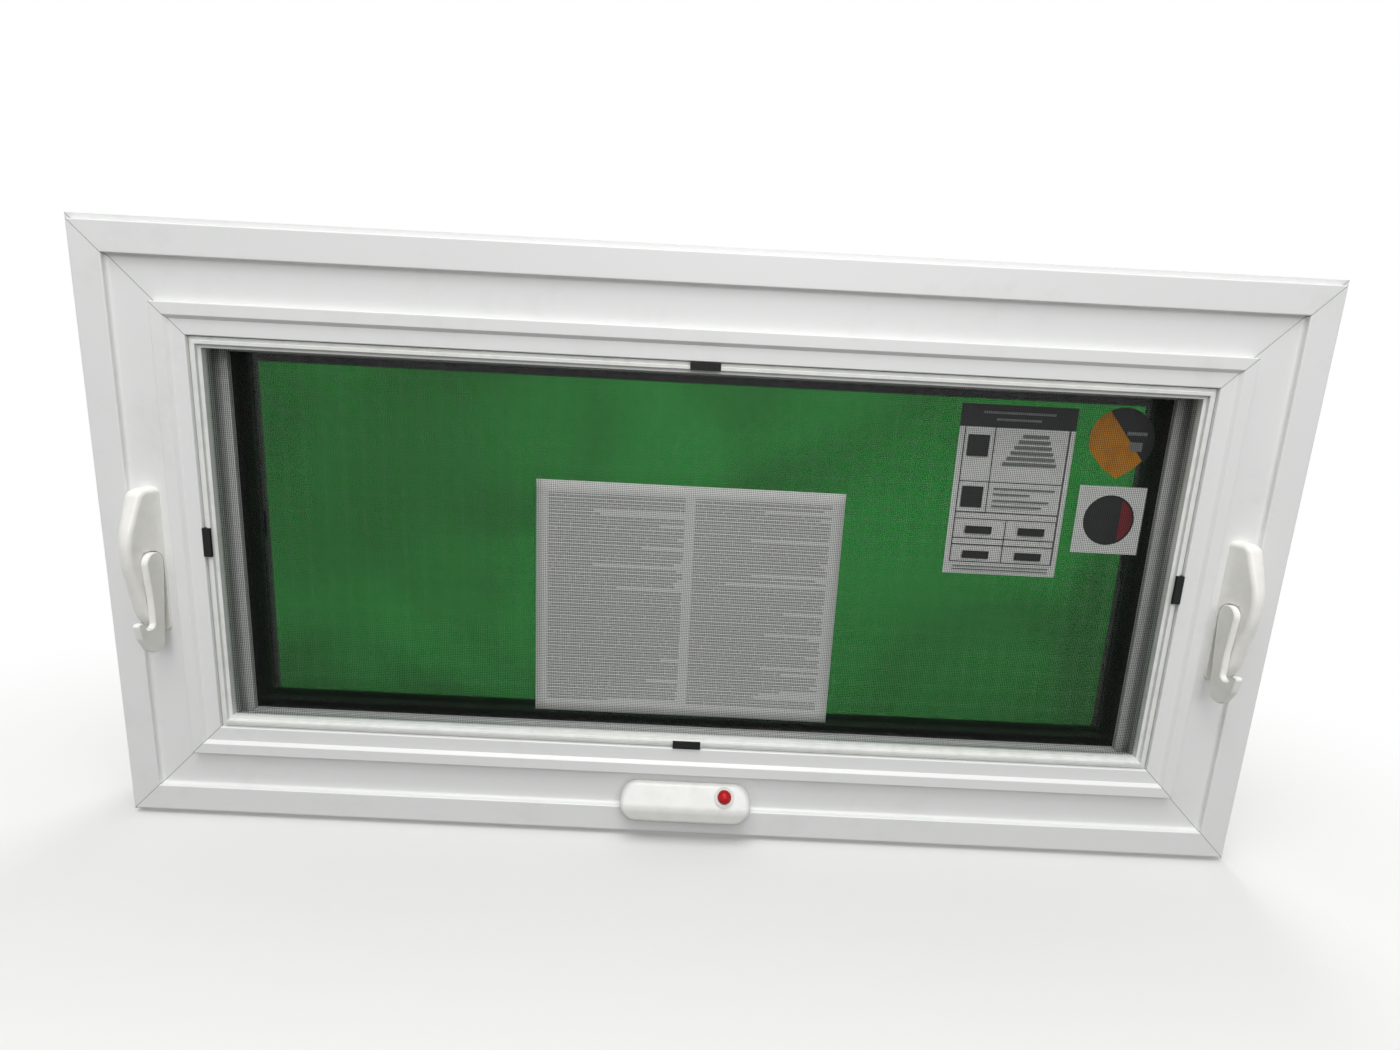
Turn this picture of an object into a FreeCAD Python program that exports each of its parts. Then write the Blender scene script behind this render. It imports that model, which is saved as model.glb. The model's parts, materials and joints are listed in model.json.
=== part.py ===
"""Top hung awning window: mitred frame, sash, double glazing, insect screen, locks and operator.

Units are millimetres. X runs along the width, Z is up and +Y points to the outside, so the
room side faces -Y. The origin is the centre of the sill's underside. Sections are drawn with
"inset" (inwards from the outer edge) and "depth" (from the room side towards the outside).
"""
import FreeCAD, Part
import os
import Sketcher

SIZES = {
    # Whole window
    "face_width": 1016.0,       # front band, edge to edge
    "face_height": 515.0,
    "edge_overhang": 5.0,       # outer wall stands out past the front band
    "frame_depth": 80.0,        # front band to outside face
    "origin_depth": 43.0,       # front band to the origin
    "cut_margin": 1.0,          # how far a cutter reaches past what it cuts
    # Frame section
    "strip_setback": 6.0,
    "band_width": 24.4,
    "channel_width": 35.0,
    "channel_setback": 5.5,
    "cove_radius": 2.5,
    "ridge_width": 10.1,
    "ridge_rise": 2.0,
    "ridge_bevel": 2.8,
    "shelf_width": 12.7,
    "shelf_setback": 0.8,
    "seat_setback": 14.0,
    "seat_width": 4.0,
    "stop_setback": 26.0,
    "rebate_inset": 53.0,       # from the front band's edge to the wall beside the sash
    "edge_round": 1.0,
    # Sash section
    "sash_inset": 69.0,         # head and jambs
    "sash_sill_inset": 60.0,
    "sash_setback": 33.0,
    "sash_depth": 38.0,
    "sash_rail": 17.0,
    "sash_round": 0.8,
    "glazing_leg": 16.5,
    "glazing_leg_depth": 10.3,
    "glass_play": 2.5,
    "pane_thickness": 3.0,
    "pane_gap": 14.0,
    "glass_setback": 40.0,
    "spacer_width": 14.0,
    "bead_width": 10.3,
    "bead_land": 5.1,
    "bead_depth": 6.7,
    "bead_slope": 2.5,
    # Weatherstrip on the back of the frame's stop
    "seal_inset": 76.0,
    "seal_width": 6.0,
    "seal_height": 6.7,
    "seal_round": 2.4,
    "seal_corner_gap": 0.8,
    # Insect screen
    "screen_inset": 85.5,
    "screen_width": 9.0,
    "screen_setback": 1.5,
    "screen_depth": 12.5,
    "screen_groove": 2.9,
    "screen_groove_depth": 3.0,
    "screen_rib": 3.2,
    "screen_lip_depth": 3.5,
    "screen_round": 0.5,
    "mesh_setback": 10.0,
    "mesh_thickness": 0.5,
    "clip_length": 25.0,
    "clip_width": 6.5,
    "clip_height": 5.5,
    "clip_foot": 2.5,
    "clip_play": 0.2,
    # Lock case, a half moon seen from the side with its flat side to the glass
    "lock_inset": 27.0,
    "lock_width": 21.0,
    "lock_top": 45.0,           # above the window's centre
    "lock_tail": 83.0,          # below the window's centre
    "lock_crown": 10.0,
    "lock_bulge": 25.0,
    "lock_brow": 4.0,
    "lock_belly": 18.0,
    "lock_tail_rise": 13.0,
    "lock_tail_start": 72.0,
    "lock_crown_round": 10.0,
    "lock_bulge_round": 60.0,
    "lock_tail_round": 30.0,
    "lock_dome": 9.5,
    "lock_lean": 8.0,           # how far the inner side leans back over its depth
    "lock_inner_round": 4.5,
    "lock_plate": 2.0,
    # Lock lever, drawn from its pivot
    "lever_width": 5.0,
    "lever_gap": 0.7,
    "lever_proud": 0.5,
    "lever_pivot_drop": 19.0,   # below the window's centre
    "lever_pivot_rise": 8.0,
    "hub_radius": 10.0,
    "hub_round": 9.4,
    "notch_play": 1.0,
    "notch_round": 10.5,
    "lever_heel_drop": 8.0,
    "lever_waist": 7.0,
    "lever_waist_drop": 30.0,
    "lever_drop": 76.0,
    "lever_tip_back": 2.0,
    "lever_tip_round": 7.0,
    "hook_reach": 26.0,
    "hook_drop": 46.0,
    "hook_tip": 6.0,
    "hook_tip_round": 2.4,
    "hook_floor_reach": 16.0,
    "hook_floor_drop": 54.0,
    "hook_floor_round": 4.0,
    "hook_chin_reach": 23.0,
    "hook_chin_drop": 60.0,
    "hook_foot_reach": 14.0,
    "hook_round": 10.0,
    "lever_rim": 0.9,
    "lever_pin_radius": 2.5,
    "lever_pin_bite": 6.0,
    "lever_pin_cover": 1.2,
    "pin_play": 0.1,
    # Operator
    "operator_offset": 1.3,
    "operator_inset": 19.0,
    "operator_width": 119.0,
    "operator_height": 33.3,
    "operator_rise": 16.5,
    "operator_round": 4.5,
    "operator_corner": 16.0,
    "operator_slope_start": 15.0,
    "operator_slope_low": 4.5,
    "operator_slope_round": 14.0,
    "operator_foot_width": 92.0,
    "operator_foot_height": 20.0,
    "operator_foot_inset": 28.5,
    "spindle_offset": 36.7,
    "spindle_inset": 44.3,
    "spindle_rise": 9.4,
    "spindle_tilt": 34.0,
    "collar_radius": 9.0,
    "collar_length": 11.0,
    "collar_stand": 2.2,
    "cap_radius": 6.3,
    # Hinges
    "axis_inset": 63.0,         # hinge axis below the front band's top edge
    "axis_setback": 71.0,
    "track_thick": 2.5,
    "track_length": 226.0,
    "track_width": 24.0,
    "track_top": 6.0,
    "track_edge": 6.0,
    "hinge_pin_radius": 4.0,
    "hinge_pin_short": 0.4,
    "plate_thick": 2.5,
    "plate_length": 118.0,
    "plate_width": 20.0,
    "plate_eye": 5.8,
    "plate_neck_length": 29.5,
    "plate_neck_width": 9.6,
    "plate_leaf_drop": 10.0,
    "plate_leaf_setback": 2.0,
    "arm_thick": 3.0,
    "arm_gap": 2.5,
    "arm_width": 12.0,
    "arm_length": 140.0,
    "arm_pivot_drop": 200.0,
    "arm_setback": 60.0,
    "arm_pin_radius": 3.0,
    "arm_pin_proud": 0.6,
    "arm_stud_play": 0.5,
}


class Dim:
    """A length that carries both its value and the sheet expression it comes from."""

    def __init__(self, value, text):
        self.value = value
        self.text = text

    @staticmethod
    def of(other):
        """Wrap a plain number, and pass a Dim through.

        Args:
            other: A number or a Dim.
        Returns:
            A Dim.
        """
        if isinstance(other, Dim):
            return other
        return Dim(float(other), repr(float(other)))

    def _join(self, sign, other, value):
        return Dim(value, "(%s %s %s)" % (self.text, sign, Dim.of(other).text))

    def __add__(self, other):
        return self._join("+", other, self.value + Dim.of(other).value)

    def __sub__(self, other):
        return self._join("-", other, self.value - Dim.of(other).value)

    def __mul__(self, other):
        return self._join("*", other, self.value * Dim.of(other).value)

    def __truediv__(self, other):
        return self._join("/", other, self.value / Dim.of(other).value)

    def __neg__(self):
        return Dim(-self.value, "(0 - %s)" % self.text)


DOC = FreeCAD.newDocument("AwningWindow")
SHEET = DOC.addObject("Spreadsheet::Sheet", "Sizes")
for _row, (_name, _value) in enumerate(SIZES.items(), start=1):
    SHEET.set("A%d" % _row, _name)
    SHEET.set("B%d" % _row, str(_value))
    SHEET.setAlias("B%d" % _row, _name)
DOC.recompute()
D = {name: Dim(value, "Sizes." + name) for name, value in SIZES.items()}
ZERO = Dim.of(0)
NODES = []
SNAP = 0.01             # points closer than this are the same
LEAST_CUT = 1.0         # cubic millimetres that a cut has to remove
FACING_ROOM = -0.5      # faces whose normal has less Y than this face the room
RIGHT_ANGLE = 90.0


def bind(obj, prop, size):
    """Bind one property of an object to the sheet.

    Args:
        obj: The document object.
        prop: The property path.
        size: The Dim or number it takes.
    """
    obj.setExpression(prop, Dim.of(size).text)


def place(obj, x, y, z, axis=(0, 0, 1), angle=0.0):
    """Place an object, with its position bound to the sheet.

    Args:
        obj: The document object.
        x, y, z: Position as Dim or number.
        axis: Rotation axis.
        angle: Rotation in degrees.
    Returns:
        The same object.
    """
    turn = FreeCAD.Rotation(FreeCAD.Vector(*axis), angle)
    obj.Placement = FreeCAD.Placement(FreeCAD.Vector(0, 0, 0), turn)
    for letter, size in zip("xyz", (x, y, z)):
        bind(obj, "Placement.Base." + letter, size)
    return obj


def node(obj, label):
    """Register an object as a named piece of the window.

    Args:
        obj: The finished document object.
        label: The node's name.
    Returns:
        The same object.
    """
    obj.Label = label
    NODES.append(obj)
    return obj


def plane(body, role):
    """Find one of a body's own origin planes.

    Args:
        body: The PartDesign body.
        role: XY_Plane, XZ_Plane or YZ_Plane.
    Returns:
        The plane object.
    """
    return [item for item in body.Origin.OriginFeatures if item.Role == role][0]


def outline(body, role, points, name, lift=None):
    """Draw a closed outline, each corner held by sheet sizes.

    Args:
        body: The PartDesign body.
        role: The origin plane it lies on.
        points: Corners as pairs of Dim or number.
        name: The sketch's name.
        lift: How far the sketch stands off that plane, if at all.
    Returns:
        The sketch.
    """
    sketch = body.newObject("Sketcher::SketchObject", name)
    sketch.AttachmentSupport = [(plane(body, role), "")]
    sketch.MapMode = "FlatFace"
    if lift is not None:
        bind(sketch, "AttachmentOffset.Base.z", lift)
    pairs = [(Dim.of(across), Dim.of(along)) for across, along in points]
    count = len(pairs)
    for index in range(count):
        start = pairs[index]
        end = pairs[(index + 1) % count]
        sketch.addGeometry(Part.LineSegment(
            FreeCAD.Vector(start[0].value, start[1].value, 0),
            FreeCAD.Vector(end[0].value, end[1].value, 0)), False)
    for index in range(count):
        sketch.addConstraint(Sketcher.Constraint("Coincident", index, 2, (index + 1) % count, 1))
    for index, pair in enumerate(pairs):
        for kind, axis, size in (("DistanceX", -2, pair[0]), ("DistanceY", -1, pair[1])):
            if size.text == ZERO.text:
                sketch.addConstraint(Sketcher.Constraint("PointOnObject", index, 1, axis))
                continue
            spot = sketch.addConstraint(Sketcher.Constraint(kind, -1, 1, index, 1, size.value))
            sketch.setExpression("Constraints[%d]" % spot, size.text)
    DOC.recompute()
    return sketch


def pad(body, sketch, length, name, symmetric=False, reverse=False):
    """Pad a sketch.

    Args:
        body: The PartDesign body.
        sketch: The closed sketch.
        length: Its height.
        name: The feature's name.
        symmetric: Whether it grows to both sides.
        reverse: Whether it grows against the sketch's normal.
    Returns:
        The pad.
    """
    feature = body.newObject("PartDesign::Pad", name)
    feature.Profile = sketch
    bind(feature, "Length", length)
    if symmetric:
        feature.SideType = "Symmetric"
    feature.Reversed = reverse
    DOC.recompute()
    return feature


def pocket(body, sketch, length, name, reverse=False):
    """Cut a sketch out of a body, and make sure that it removes material.

    Args:
        body: The PartDesign body.
        sketch: The closed sketch.
        length: Its depth, or None to cut through to both sides.
        name: The feature's name.
        reverse: Whether it cuts along the sketch's normal.
    Returns:
        The pocket.
    """
    before = body.Shape.Volume
    feature = body.newObject("PartDesign::Pocket", name)
    feature.Profile = sketch
    if length is None:
        feature.Type = "ThroughAll"
        feature.SideType = "Symmetric"
    else:
        bind(feature, "Length", length)
        feature.Reversed = reverse
    DOC.recompute()
    if body.Shape.Volume > before - LEAST_CUT:
        raise RuntimeError("%s of %s removes nothing" % (name, body.Label))
    return feature


def edges_at(shape, test):
    """Name the edges whose middle passes a test.

    Args:
        shape: The shape to search.
        test: Takes an edge and its middle point.
    Returns:
        Edge names.
    """
    names = []
    for index, edge in enumerate(shape.Edges, start=1):
        middle = edge.valueAt((edge.FirstParameter + edge.LastParameter) / 2.0)
        if test(edge, middle):
            names.append("Edge%d" % index)
    return names


def fillet(body, base, names, radius, name, flat=False):
    """Round some edges of a feature, or cut them flat.

    Args:
        body: The PartDesign body.
        base: The feature with the edges.
        names: Edge names.
        radius: The radius, or the width of the flat cut.
        name: The feature's name.
        flat: Whether the edges get a chamfer.
    Returns:
        The fillet or chamfer.
    """
    if not names:
        raise RuntimeError("%s of %s finds no edge" % (name, body.Label))
    feature = body.newObject("PartDesign::Chamfer" if flat else "PartDesign::Fillet", name)
    feature.Base = (base, names)
    bind(feature, "Size" if flat else "Radius", radius)
    DOC.recompute()
    return feature


def along_edges(shape, axis, corners):
    """Name the edges that run along an axis through given section corners.

    Args:
        shape: The shape to search.
        axis: "x" or "z".
        corners: Section corners as pairs of Dim, in the order of the other two axes.
    Returns:
        Edge names.
    """
    first, second = [letter for letter in "xyz" if letter != axis]
    spots = [(Dim.of(one).value, Dim.of(other).value) for one, other in corners]

    def wanted(edge, middle):
        ends = [getattr(vertex.Point, axis) for vertex in edge.Vertexes]
        if max(ends) - min(ends) < SNAP:
            return False
        return any(abs(getattr(middle, first) - one) < SNAP
                   and abs(getattr(middle, second) - other) < SNAP for one, other in spots)

    return edges_at(shape, wanted)


def rounded(body, solid, axis, rounds, name):
    """Round groups of section corners, one group after the other.

    Args:
        body: The PartDesign body.
        solid: The feature to round.
        axis: The axis that its section runs along.
        rounds: Groups of (section corners, radius).
        name: Stem of the features' names.
    Returns:
        The last feature.
    """
    for index, (corners, radius) in enumerate(rounds):
        names = along_edges(solid.Shape, axis, corners)
        solid = fillet(body, solid, names, radius, "%sRound%d" % (name, index))
    return solid


def mitred_bar(key, section, length, reach, rounds=()):
    """Build one bar of a ring along Z with both ends cut at 45 degrees.

    Args:
        key: Name stem for the body.
        section: Closed section as pairs of (inset, depth).
        length: Length along its outer edge.
        reach: Inset that the mitre cut has to reach.
        rounds: Groups of (section corners, radius) to round.
    Returns:
        The body.
    """
    body = DOC.addObject("PartDesign::Body", key)
    solid = pad(body, outline(body, "XY_Plane", section, key + "Section"), length, key + "Bar",
                symmetric=True)
    rounded(body, solid, "z", rounds, key)
    half = length / 2
    far = reach + D["cut_margin"]
    cut = outline(body, "XZ_Plane", [
        (ZERO, half),
        (ZERO, half + D["cut_margin"]),
        (far, half + D["cut_margin"]),
        (far, half - far),
    ], key + "MitreLine")
    mitre = pocket(body, cut, None, key + "Mitre")
    other = body.newObject("PartDesign::Mirrored", key + "OtherMitre")
    other.Originals = [mitre]
    other.MirrorPlane = (plane(body, "XY_Plane"), [""])
    body.Tip = other
    DOC.recompute()
    return body


def depth_of(setback):
    """Turn a depth behind the front band into a Y position.

    Args:
        setback: Depth behind the front band.
    Returns:
        The Y position.
    """
    return setback - D["origin_depth"]


def even(inset):
    """Give one inset for jambs, head and sill alike.

    Args:
        inset: Distance inwards from the front band's edge.
    Returns:
        The insets of the jambs, the head and the sill.
    """
    return inset, inset, inset


def grown(insets, extra):
    """Move insets further in.

    Args:
        insets: Insets of the jambs, the head and the sill.
        extra: What is added to each.
    Returns:
        The new insets.
    """
    return tuple(inset + extra for inset in insets)


def ring(names, section, insets, front, reach, rounds=(), short=None):
    """Build four mitred bars around the window.

    Args:
        names: Labels for head, sill, left and right.
        section: Section from its own outer edge and its own front.
        insets: Its outer edge at jambs, head and sill, inwards from the front band's edge.
        front: Its front, as depth from the front band.
        reach: Inset that the mitre cut has to reach.
        rounds: Groups of (section corners, radius) to round.
        short: Amount by which each bar is shortened, if any.
    Returns:
        The four bodies in the same order.
    """
    side, head, sill = insets
    wide = D["face_width"] - side * 2
    tall = D["face_height"] - head - sill
    low = D["edge_overhang"] + sill
    spots = (
        (wide, ZERO, low + tall, RIGHT_ANGLE),
        (wide, ZERO, low, -RIGHT_ANGLE),
        (tall, -(wide / 2), low + tall / 2, 0.0),
        (tall, wide / 2, low + tall / 2, 2 * RIGHT_ANGLE),
    )
    bodies = []
    for name, (length, x, z, turn) in zip(names, spots):
        key = "".join(word.capitalize() for word in name.split("_"))
        run = length if short is None else length - short
        body = mitred_bar(key, section, run, reach, rounds)
        bodies.append(place(body, x, depth_of(front), z, (0, 1, 0), turn))
    return bodies


def box(name, x, y, z, length, width, height):
    """Build a block.

    Args:
        name: The object's name.
        x, y, z: Its lowest corner.
        length, width, height: Its sizes along X, Y and Z.
    Returns:
        The block.
    """
    block = DOC.addObject("Part::Box", name)
    for prop, size in zip(("Length", "Width", "Height"), (length, width, height)):
        bind(block, prop, size)
    return place(block, x, y, z)


def panel(name, insets, front, thickness):
    """Build a flat panel that fills the window inside given insets.

    Args:
        name: The object's name.
        insets: Insets of the jambs, the head and the sill.
        front: Depth of its front behind the front band.
        thickness: Its thickness.
    Returns:
        The panel.
    """
    side, head, sill = insets
    return box(name, LEFT_X + side, depth_of(front), D["edge_overhang"] + sill,
               D["face_width"] - side * 2, thickness, D["face_height"] - head - sill)


def pin(name, x, y, z, radius, length):
    """Build a round pin along +X.

    Args:
        name: The object's name.
        x, y, z: Centre of its first end.
        radius: Its radius.
        length: Its length.
    Returns:
        The pin.
    """
    rod = DOC.addObject("Part::Cylinder", name)
    bind(rod, "Radius", radius)
    bind(rod, "Height", length)
    return place(rod, x, y, z, (0, 1, 0), RIGHT_ANGLE)


def fused(name, shapes):
    """Fuse pieces into one solid.

    Args:
        name: The object's name.
        shapes: The pieces.
    Returns:
        The fusion.
    """
    joined = DOC.addObject("Part::MultiFuse", name)
    joined.Shapes = shapes
    joined.Refine = True
    return joined


def cut(name, base, tool):
    """Cut one piece out of another.

    Args:
        name: The object's name.
        base: The piece that stays.
        tool: The piece that is removed.
    Returns:
        The cut.
    """
    rest = DOC.addObject("Part::Cut", name)
    rest.Base = base
    rest.Tool = tool
    return rest


def mirrored(name, source):
    """Mirror a left-hand piece to the right.

    Args:
        name: The object's name.
        source: The left-hand piece.
    Returns:
        The mirrored piece.
    """
    twin = DOC.addObject("Part::Mirroring", name)
    twin.Source = source
    twin.Normal = FreeCAD.Vector(1, 0, 0)
    twin.Base = FreeCAD.Vector(0, 0, 0)
    return twin


MID_Z = D["edge_overhang"] + D["face_height"] / 2
LEFT_X = -(D["face_width"] / 2)
SASH = (D["sash_inset"], D["sash_inset"], D["sash_sill_inset"])


def build_frame():
    """Build the four welded frame members, with the stepped room side."""
    rise = D["ridge_rise"]
    band = D["edge_overhang"] + D["band_width"]
    channel = band + D["channel_width"]
    ridge = channel + D["ridge_width"]
    shelf = ridge + D["ridge_bevel"] + D["shelf_width"]
    seat = shelf + D["seat_width"]
    wall = D["edge_overhang"] + D["rebate_inset"]
    section = [
        (ZERO, rise + D["strip_setback"]),
        (D["edge_overhang"], rise + D["strip_setback"]),
        (D["edge_overhang"], rise),
        (band, rise),
        (band, rise + D["channel_setback"]),
        (channel, rise + D["channel_setback"]),
        (channel, ZERO),
        (ridge, ZERO),
        (ridge + D["ridge_bevel"], rise + D["shelf_setback"]),
        (shelf, rise + D["shelf_setback"]),
        (shelf, rise + D["seat_setback"]),
        (seat, rise + D["seat_setback"]),
        (seat, rise + D["stop_setback"]),
        (wall, rise + D["stop_setback"]),
        (wall, rise + D["frame_depth"]),
        (ZERO, rise + D["frame_depth"]),
    ]
    rounds = (
        ([section[4]], D["cove_radius"]),
        ([section[2], section[3], section[6], section[7], section[9]], D["edge_round"]),
    )
    labels = ("frame_head", "frame_sill", "frame_left_jamb", "frame_right_jamb")
    bars = ring(labels, section, even(-D["edge_overhang"]), -rise, seat, rounds)
    for body, label in zip(bars, labels):
        node(body, label)


def build_sash():
    """Build the sash members, the glazing beads, the two panes and their spacer."""
    rail = D["sash_rail"]
    leg = rail + D["glazing_leg"]
    rebate = D["sash_depth"] - D["glazing_leg_depth"]
    section = [
        (ZERO, ZERO),
        (rail, ZERO),
        (rail, rebate),
        (leg, rebate),
        (leg, D["sash_depth"]),
        (ZERO, D["sash_depth"]),
    ]
    rounds = (([section[0], section[4], section[5]], D["sash_round"]),)
    labels = ("sash_top_rail", "sash_bottom_rail", "sash_left_stile", "sash_right_stile")
    for body, label in zip(ring(labels, section, SASH, D["sash_setback"], leg, rounds), labels):
        node(body, label)

    bead = [
        (ZERO, ZERO),
        (D["bead_land"], ZERO),
        (D["bead_width"], D["bead_slope"]),
        (D["bead_width"], D["bead_depth"]),
        (ZERO, D["bead_depth"]),
    ]
    labels = ("top_glazing_bead", "bottom_glazing_bead", "left_glazing_bead",
              "right_glazing_bead")
    bars = ring(labels, bead, grown(SASH, rail), D["sash_setback"], D["bead_width"])
    for body, label in zip(bars, labels):
        node(body, label)

    edge = grown(SASH, rail + D["glass_play"])
    front = D["glass_setback"]
    gap = front + D["pane_thickness"]
    node(panel("InteriorGlass", edge, front, D["pane_thickness"]), "interior_glass")
    node(panel("ExteriorGlass", edge, gap + D["pane_gap"], D["pane_thickness"]), "exterior_glass")
    outer = panel("SpacerOutside", edge, gap, D["pane_gap"])
    inner = panel("SpacerInside", grown(edge, D["spacer_width"]), gap, D["pane_gap"])
    node(cut("GlassSpacer", outer, inner), "glass_spacer")


def build_seal():
    """Build the weatherstrip on the back of the frame's stop, in four lengths."""
    wide = D["seal_width"]
    tall = D["seal_height"]
    section = [(ZERO, ZERO), (wide, ZERO), (wide, tall), (ZERO, tall)]
    rounds = (([section[2], section[3]], D["seal_round"]),)
    names = ("seal_head", "seal_sill", "seal_left", "seal_right")
    strip = DOC.addObject("Part::Compound", "FrameWeatherstrip")
    strip.Links = ring(names, section, even(D["seal_inset"]), D["stop_setback"], wide, rounds,
                       short=D["seal_corner_gap"])
    node(strip, "frame_weatherstrip")


def build_screen():
    """Build the insect screen's bars, its mesh and the four black clips."""
    groove = D["screen_groove"]
    rib = groove + D["screen_rib"]
    wide = D["screen_width"]
    section = [
        (ZERO, D["screen_groove_depth"]),
        (groove, D["screen_groove_depth"]),
        (groove, ZERO),
        (rib, ZERO),
        (rib, D["screen_lip_depth"]),
        (wide, D["screen_lip_depth"]),
        (wide, D["screen_depth"]),
        (ZERO, D["screen_depth"]),
    ]
    rounds = (([section[2], section[3], section[5]], D["screen_round"]),)
    labels = ("screen_top_bar", "screen_bottom_bar", "screen_left_bar", "screen_right_bar")
    bars = ring(labels, section, even(D["screen_inset"]), D["screen_setback"], wide, rounds)
    for body, label in zip(bars, labels):
        node(body, label)
    node(panel("ScreenMesh", even(D["screen_inset"] + wide), D["mesh_setback"],
               D["mesh_thickness"]), "screen_mesh")

    plate = D["clip_height"] - D["screen_groove_depth"]
    clip = [
        (ZERO, ZERO),
        (D["clip_width"], ZERO),
        (D["clip_width"], plate),
        (D["clip_foot"], plate),
        (D["clip_foot"], D["clip_height"]),
        (ZERO, D["clip_height"]),
    ]
    depth = depth_of(D["screen_setback"] - plate)
    edge = D["screen_inset"] + D["clip_play"]
    half_w = D["face_width"] / 2 - edge
    half_h = D["face_height"] / 2 - edge
    spots = (
        ("top_screen_clip", ZERO, MID_Z + half_h, RIGHT_ANGLE),
        ("bottom_screen_clip", ZERO, MID_Z - half_h, -RIGHT_ANGLE),
        ("left_screen_clip", -half_w, MID_Z, 0.0),
        ("right_screen_clip", half_w, MID_Z, 2 * RIGHT_ANGLE),
    )
    for label, x, z, turn in spots:
        key = "".join(word.capitalize() for word in label.split("_"))
        body = DOC.addObject("PartDesign::Body", key)
        pad(body, outline(body, "XY_Plane", clip, key + "Section"), D["clip_length"], key + "Block",
            symmetric=True)
        node(place(body, x, depth, z, (0, 1, 0), turn), label)


def side_rim(shape, x, back, slope=0):
    """Name the edges round a flat side of a lock piece, apart from those on its back.

    Args:
        shape: The shape to search.
        x: Where the flat side meets the back.
        back: Depth of the piece's back.
        slope: How far the side leans, for each millimetre of depth.
    Returns:
        Edge names.
    """
    def wanted(edge, middle):
        flat = all(abs(vertex.X - x.value + slope * (back.value - vertex.Y)) < SNAP
                   for vertex in edge.Vertexes)
        return flat and middle.y < back.value - SNAP

    return edges_at(shape, wanted)


def lock_case(pivot, slot_x):
    """Build the left lock's domed case, from its profile as seen from the glass.

    Args:
        pivot: Height of the lever's pivot above the case's tail.
        slot_x: Where the lever's slot starts, from the case's outer wall.
    Returns:
        The body.
    """
    foot = D["channel_setback"]
    wide = D["lock_width"]
    total = D["lock_top"] + D["lock_tail"]
    tail = (-D["lock_tail_rise"], D["lock_tail"] - D["lock_tail_start"])
    belly = (-D["lock_bulge"], D["lock_tail"] - D["lock_belly"])
    brow = (-D["lock_bulge"], D["lock_tail"] + D["lock_brow"])
    crown = (-D["lock_crown"], total)
    body = DOC.addObject("PartDesign::Body", "LeftLockCaseBody")
    profile = outline(body, "YZ_Plane", [(foot, ZERO), tail, belly, brow, crown, (foot, total)],
                      "CaseProfile")
    solid = pad(body, profile, wide, "CaseBlock")
    solid = rounded(body, solid, "x", (
        ([crown], D["lock_crown_round"]),
        ([brow, belly], D["lock_bulge_round"]),
        ([tail], D["lock_tail_round"]),
    ), "Case")
    front = -(D["lock_bulge"] + D["cut_margin"])
    lean = outline(body, "XY_Plane", [(wide, foot), (wide - D["lock_lean"], front), (wide, front)],
                   "CaseLeanLine")
    solid = pocket(body, lean, total, "CaseLean", reverse=True)
    solid = fillet(body, solid, side_rim(solid.Shape, ZERO, foot), D["lock_dome"], "CaseDome")
    slope = D["lock_lean"].value / (foot - front).value
    inner_rim = side_rim(solid.Shape, wide, foot, slope)
    solid = fillet(body, solid, inner_rim, D["lock_inner_round"], "CaseInnerRim")

    room = D["hub_radius"] + D["notch_play"]
    back = foot - D["lock_plate"]
    before_hub = -(D["lever_pivot_rise"] + room)
    over_hub = [(before_hub, pivot + room), (back, pivot + room)]
    slot = outline(body, "YZ_Plane", [
        (back, -D["cut_margin"]),
        over_hub[1],
        over_hub[0],
        (before_hub, pivot),
        (front, pivot),
        (front, -D["cut_margin"]),
    ], "LeverSlotOutline", lift=slot_x)
    solid = pocket(body, slot, wide - slot_x + D["cut_margin"], "LeverSlot", reverse=True)
    rounded(body, solid, "x", ((over_hub, D["notch_round"]),), "Slot")
    return body


def lock_lever():
    """Build the left lock's lever with its thumb hook, about its pivot.

    Returns:
        The body.
    """
    hub = D["hub_radius"]
    bar = [
        (-hub, hub),
        (hub, hub),
        (hub, -D["lever_heel_drop"]),
        (D["lever_tip_back"], -D["lever_drop"]),
        (-D["hook_foot_reach"], -D["lever_drop"]),
        (-D["hook_chin_reach"], -D["hook_chin_drop"]),
        (-D["hook_reach"], -D["hook_drop"]),
        (D["hook_tip"] - D["hook_reach"], -D["hook_drop"]),
        (-D["hook_floor_reach"], -D["hook_floor_drop"]),
        (-D["lever_waist"], -D["hook_floor_drop"]),
        (-D["lever_waist"], -D["lever_waist_drop"]),
    ]
    body = DOC.addObject("PartDesign::Body", "LeftLeverBody")
    solid = pad(body, outline(body, "YZ_Plane", bar, "LeverOutline"), D["lever_width"], "LeverBar")
    solid = rounded(body, solid, "x", (
        (bar[0:2], D["hub_round"]),
        ([bar[2], bar[4], bar[5], bar[10]], D["hook_round"]),
        ([bar[3]], D["lever_tip_round"]),
        (bar[6:8], D["hook_tip_round"]),
        (bar[8:10], D["hook_floor_round"]),
    ), "Lever")
    rim = side_rim(solid.Shape, D["lever_width"], hub + D["cut_margin"])
    fillet(body, solid, rim, D["lever_rim"], "LeverRim", flat=True)
    return body


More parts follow.
